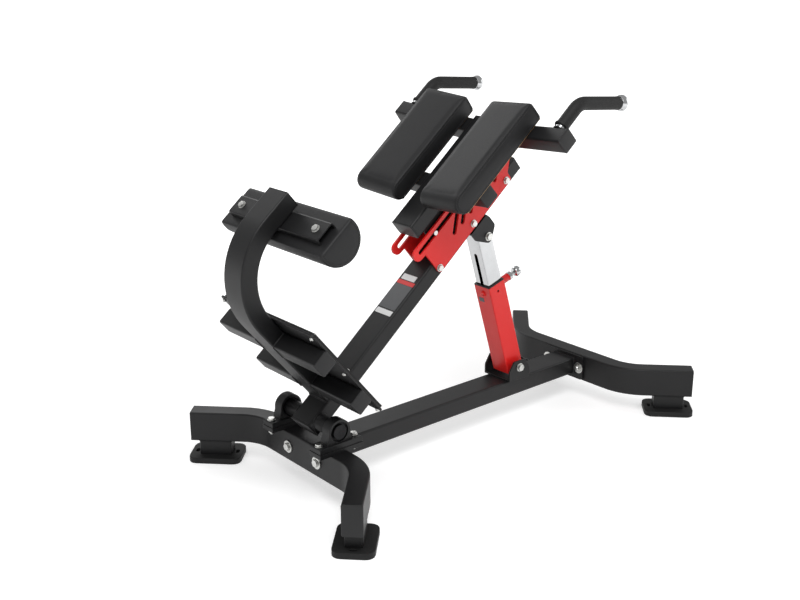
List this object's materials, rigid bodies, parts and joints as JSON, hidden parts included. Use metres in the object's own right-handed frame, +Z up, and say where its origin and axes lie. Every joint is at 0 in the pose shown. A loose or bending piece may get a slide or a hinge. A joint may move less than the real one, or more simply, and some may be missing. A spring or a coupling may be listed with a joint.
{
  "type": "hyperextension bench",
  "caption": "Hyperextension bench: black tube frame on splayed feet, tilting main beam held by a telescopic strut, sliding thigh pads, foot plate, ankle roller and side handles.",
  "frame": {"origin": "middle of the bench's box, on the floor", "axes": "+X along the base beam from the foot plate end to the handle end, +Y to the left of someone facing +X, +Z up"},
  "size_m": [1.3366, 0.7408, 0.9401],
  "materials": {
    "black_powder_coat": "satin",
    "red_powder_coat": "satin",
    "chrome_plate": "polished",
    "bright_zinc": "bright zinc plating",
    "blackened_steel": "blackened",
    "black_rubber": "matte",
    "black_vinyl": "fine-grained artificial leather",
    "black_plastic": "moulded",
    "birch_plywood": "bare"
  },
  "bodies": {
    "base": {"front_leg": "black_powder_coat", "rear_leg": "black_powder_coat", "sole_front_left": "black_rubber", "sole_front_right": "black_rubber", "sole_rear_left": "black_rubber", "sole_rear_right": "black_rubber", "base_beam": "black_powder_coat", "leg_bolt_front_left": "bright_zinc", "leg_bolt_front_right": "bright_zinc", "leg_bolt_rear_left": "bright_zinc", "leg_bolt_rear_right": "bright_zinc", "pillow_block_left": "black_powder_coat", "pillow_block_right": "black_powder_coat", "bearing_insert_left": "blackened_steel", "bearing_insert_right": "blackened_steel", "block_bolt_front_left": "bright_zinc", "block_bolt_front_right": "bright_zinc", "block_bolt_rear_left": "bright_zinc", "block_bolt_rear_right": "bright_zinc", "strut_foot_bracket": "black_powder_coat", "strut_foot_bolt": "bright_zinc"},
    "main_beam": {"main_beam": "black_powder_coat", "pivot_shaft": "blackened_steel", "roller_arm": "black_powder_coat", "roller_bracket": "black_powder_coat", "foot_roller": "black_vinyl", "roller_bolt_left": "bright_zinc", "roller_bolt_right": "bright_zinc", "foot_plate": "black_powder_coat", "foot_mat": "black_rubber", "adjuster_plate_left": "red_powder_coat", "adjuster_plate_right": "red_powder_coat", "adjuster_bolt_1": "bright_zinc", "adjuster_bolt_2": "bright_zinc", "adjuster_bolt_3": "bright_zinc", "strut_head_bracket": "black_powder_coat", "strut_head_bolt": "bright_zinc"},
    "pad_carriage": {"carriage_tube": "black_powder_coat", "slide_pin": "bright_zinc", "low_crossbar_left": "black_powder_coat", "low_crossbar_right": "black_powder_coat", "high_crossbar_left": "black_powder_coat", "high_crossbar_right": "black_powder_coat", "pad_board_left": "birch_plywood", "pad_board_right": "birch_plywood", "thigh_pad_left": "black_vinyl", "thigh_pad_right": "black_vinyl", "handle_left": "chrome_plate", "handle_right": "chrome_plate", "grip_left": "black_rubber", "grip_right": "black_rubber", "grip_cap_left": "chrome_plate", "grip_cap_right": "chrome_plate"},
    "lock_rod": {"lock_rod": "bright_zinc"},
    "strut_outer": {"strut_outer_tube": "red_powder_coat", "strut_guide_sleeve": "black_plastic", "latch_barrel": "chrome_plate"},
    "strut_inner": {"strut_inner_tube": "chrome_plate"},
    "pull_pin": {"pull_pin": "chrome_plate"}
  },
  "joints": [
    {"name": "beam_tilt", "type": "hinge", "parent": "base", "child": "main_beam", "pos_m": [-0.46112, 0, 0.185], "axis": [0, -1, 0], "range_deg": [-8, 6]},
    {"name": "strut_tilt", "type": "hinge", "parent": "base", "child": "strut_outer", "pos_m": [0.22738, 0, 0.155], "axis": [0, -1, 0], "range_deg": [-3.55, 2.65]},
    {"name": "strut_extension", "type": "slide", "parent": "strut_outer", "child": "strut_inner", "axis": [-0.3019, 0, 0.9534], "range_m": [-0.091, 0.0682]},
    {"name": "pad_slide", "type": "slide", "parent": "main_beam", "child": "pad_carriage", "axis": [0.7672, 0, 0.6414], "range_m": [-0.0366, 0.1098]},
    {"name": "lock_rod_drop", "type": "slide", "parent": "pad_carriage", "child": "lock_rod", "axis": [-0.1668, 0, -0.986], "range_m": [0, 0.07535]},
    {"name": "pull_pin_pull", "type": "slide", "parent": "strut_outer", "child": "pull_pin", "axis": [0.9534, 0, 0.3019], "range_m": [0, 0.01], "stiffness_N_per_m": 600, "springref_m": -0.015}
  ],
  "couplings": [
    {"joint": "strut_tilt", "follows": "beam_tilt", "ratio": 0.438},
    {"joint": "strut_extension", "follows": "beam_tilt", "m_per_rad": 0.65}
  ]
}
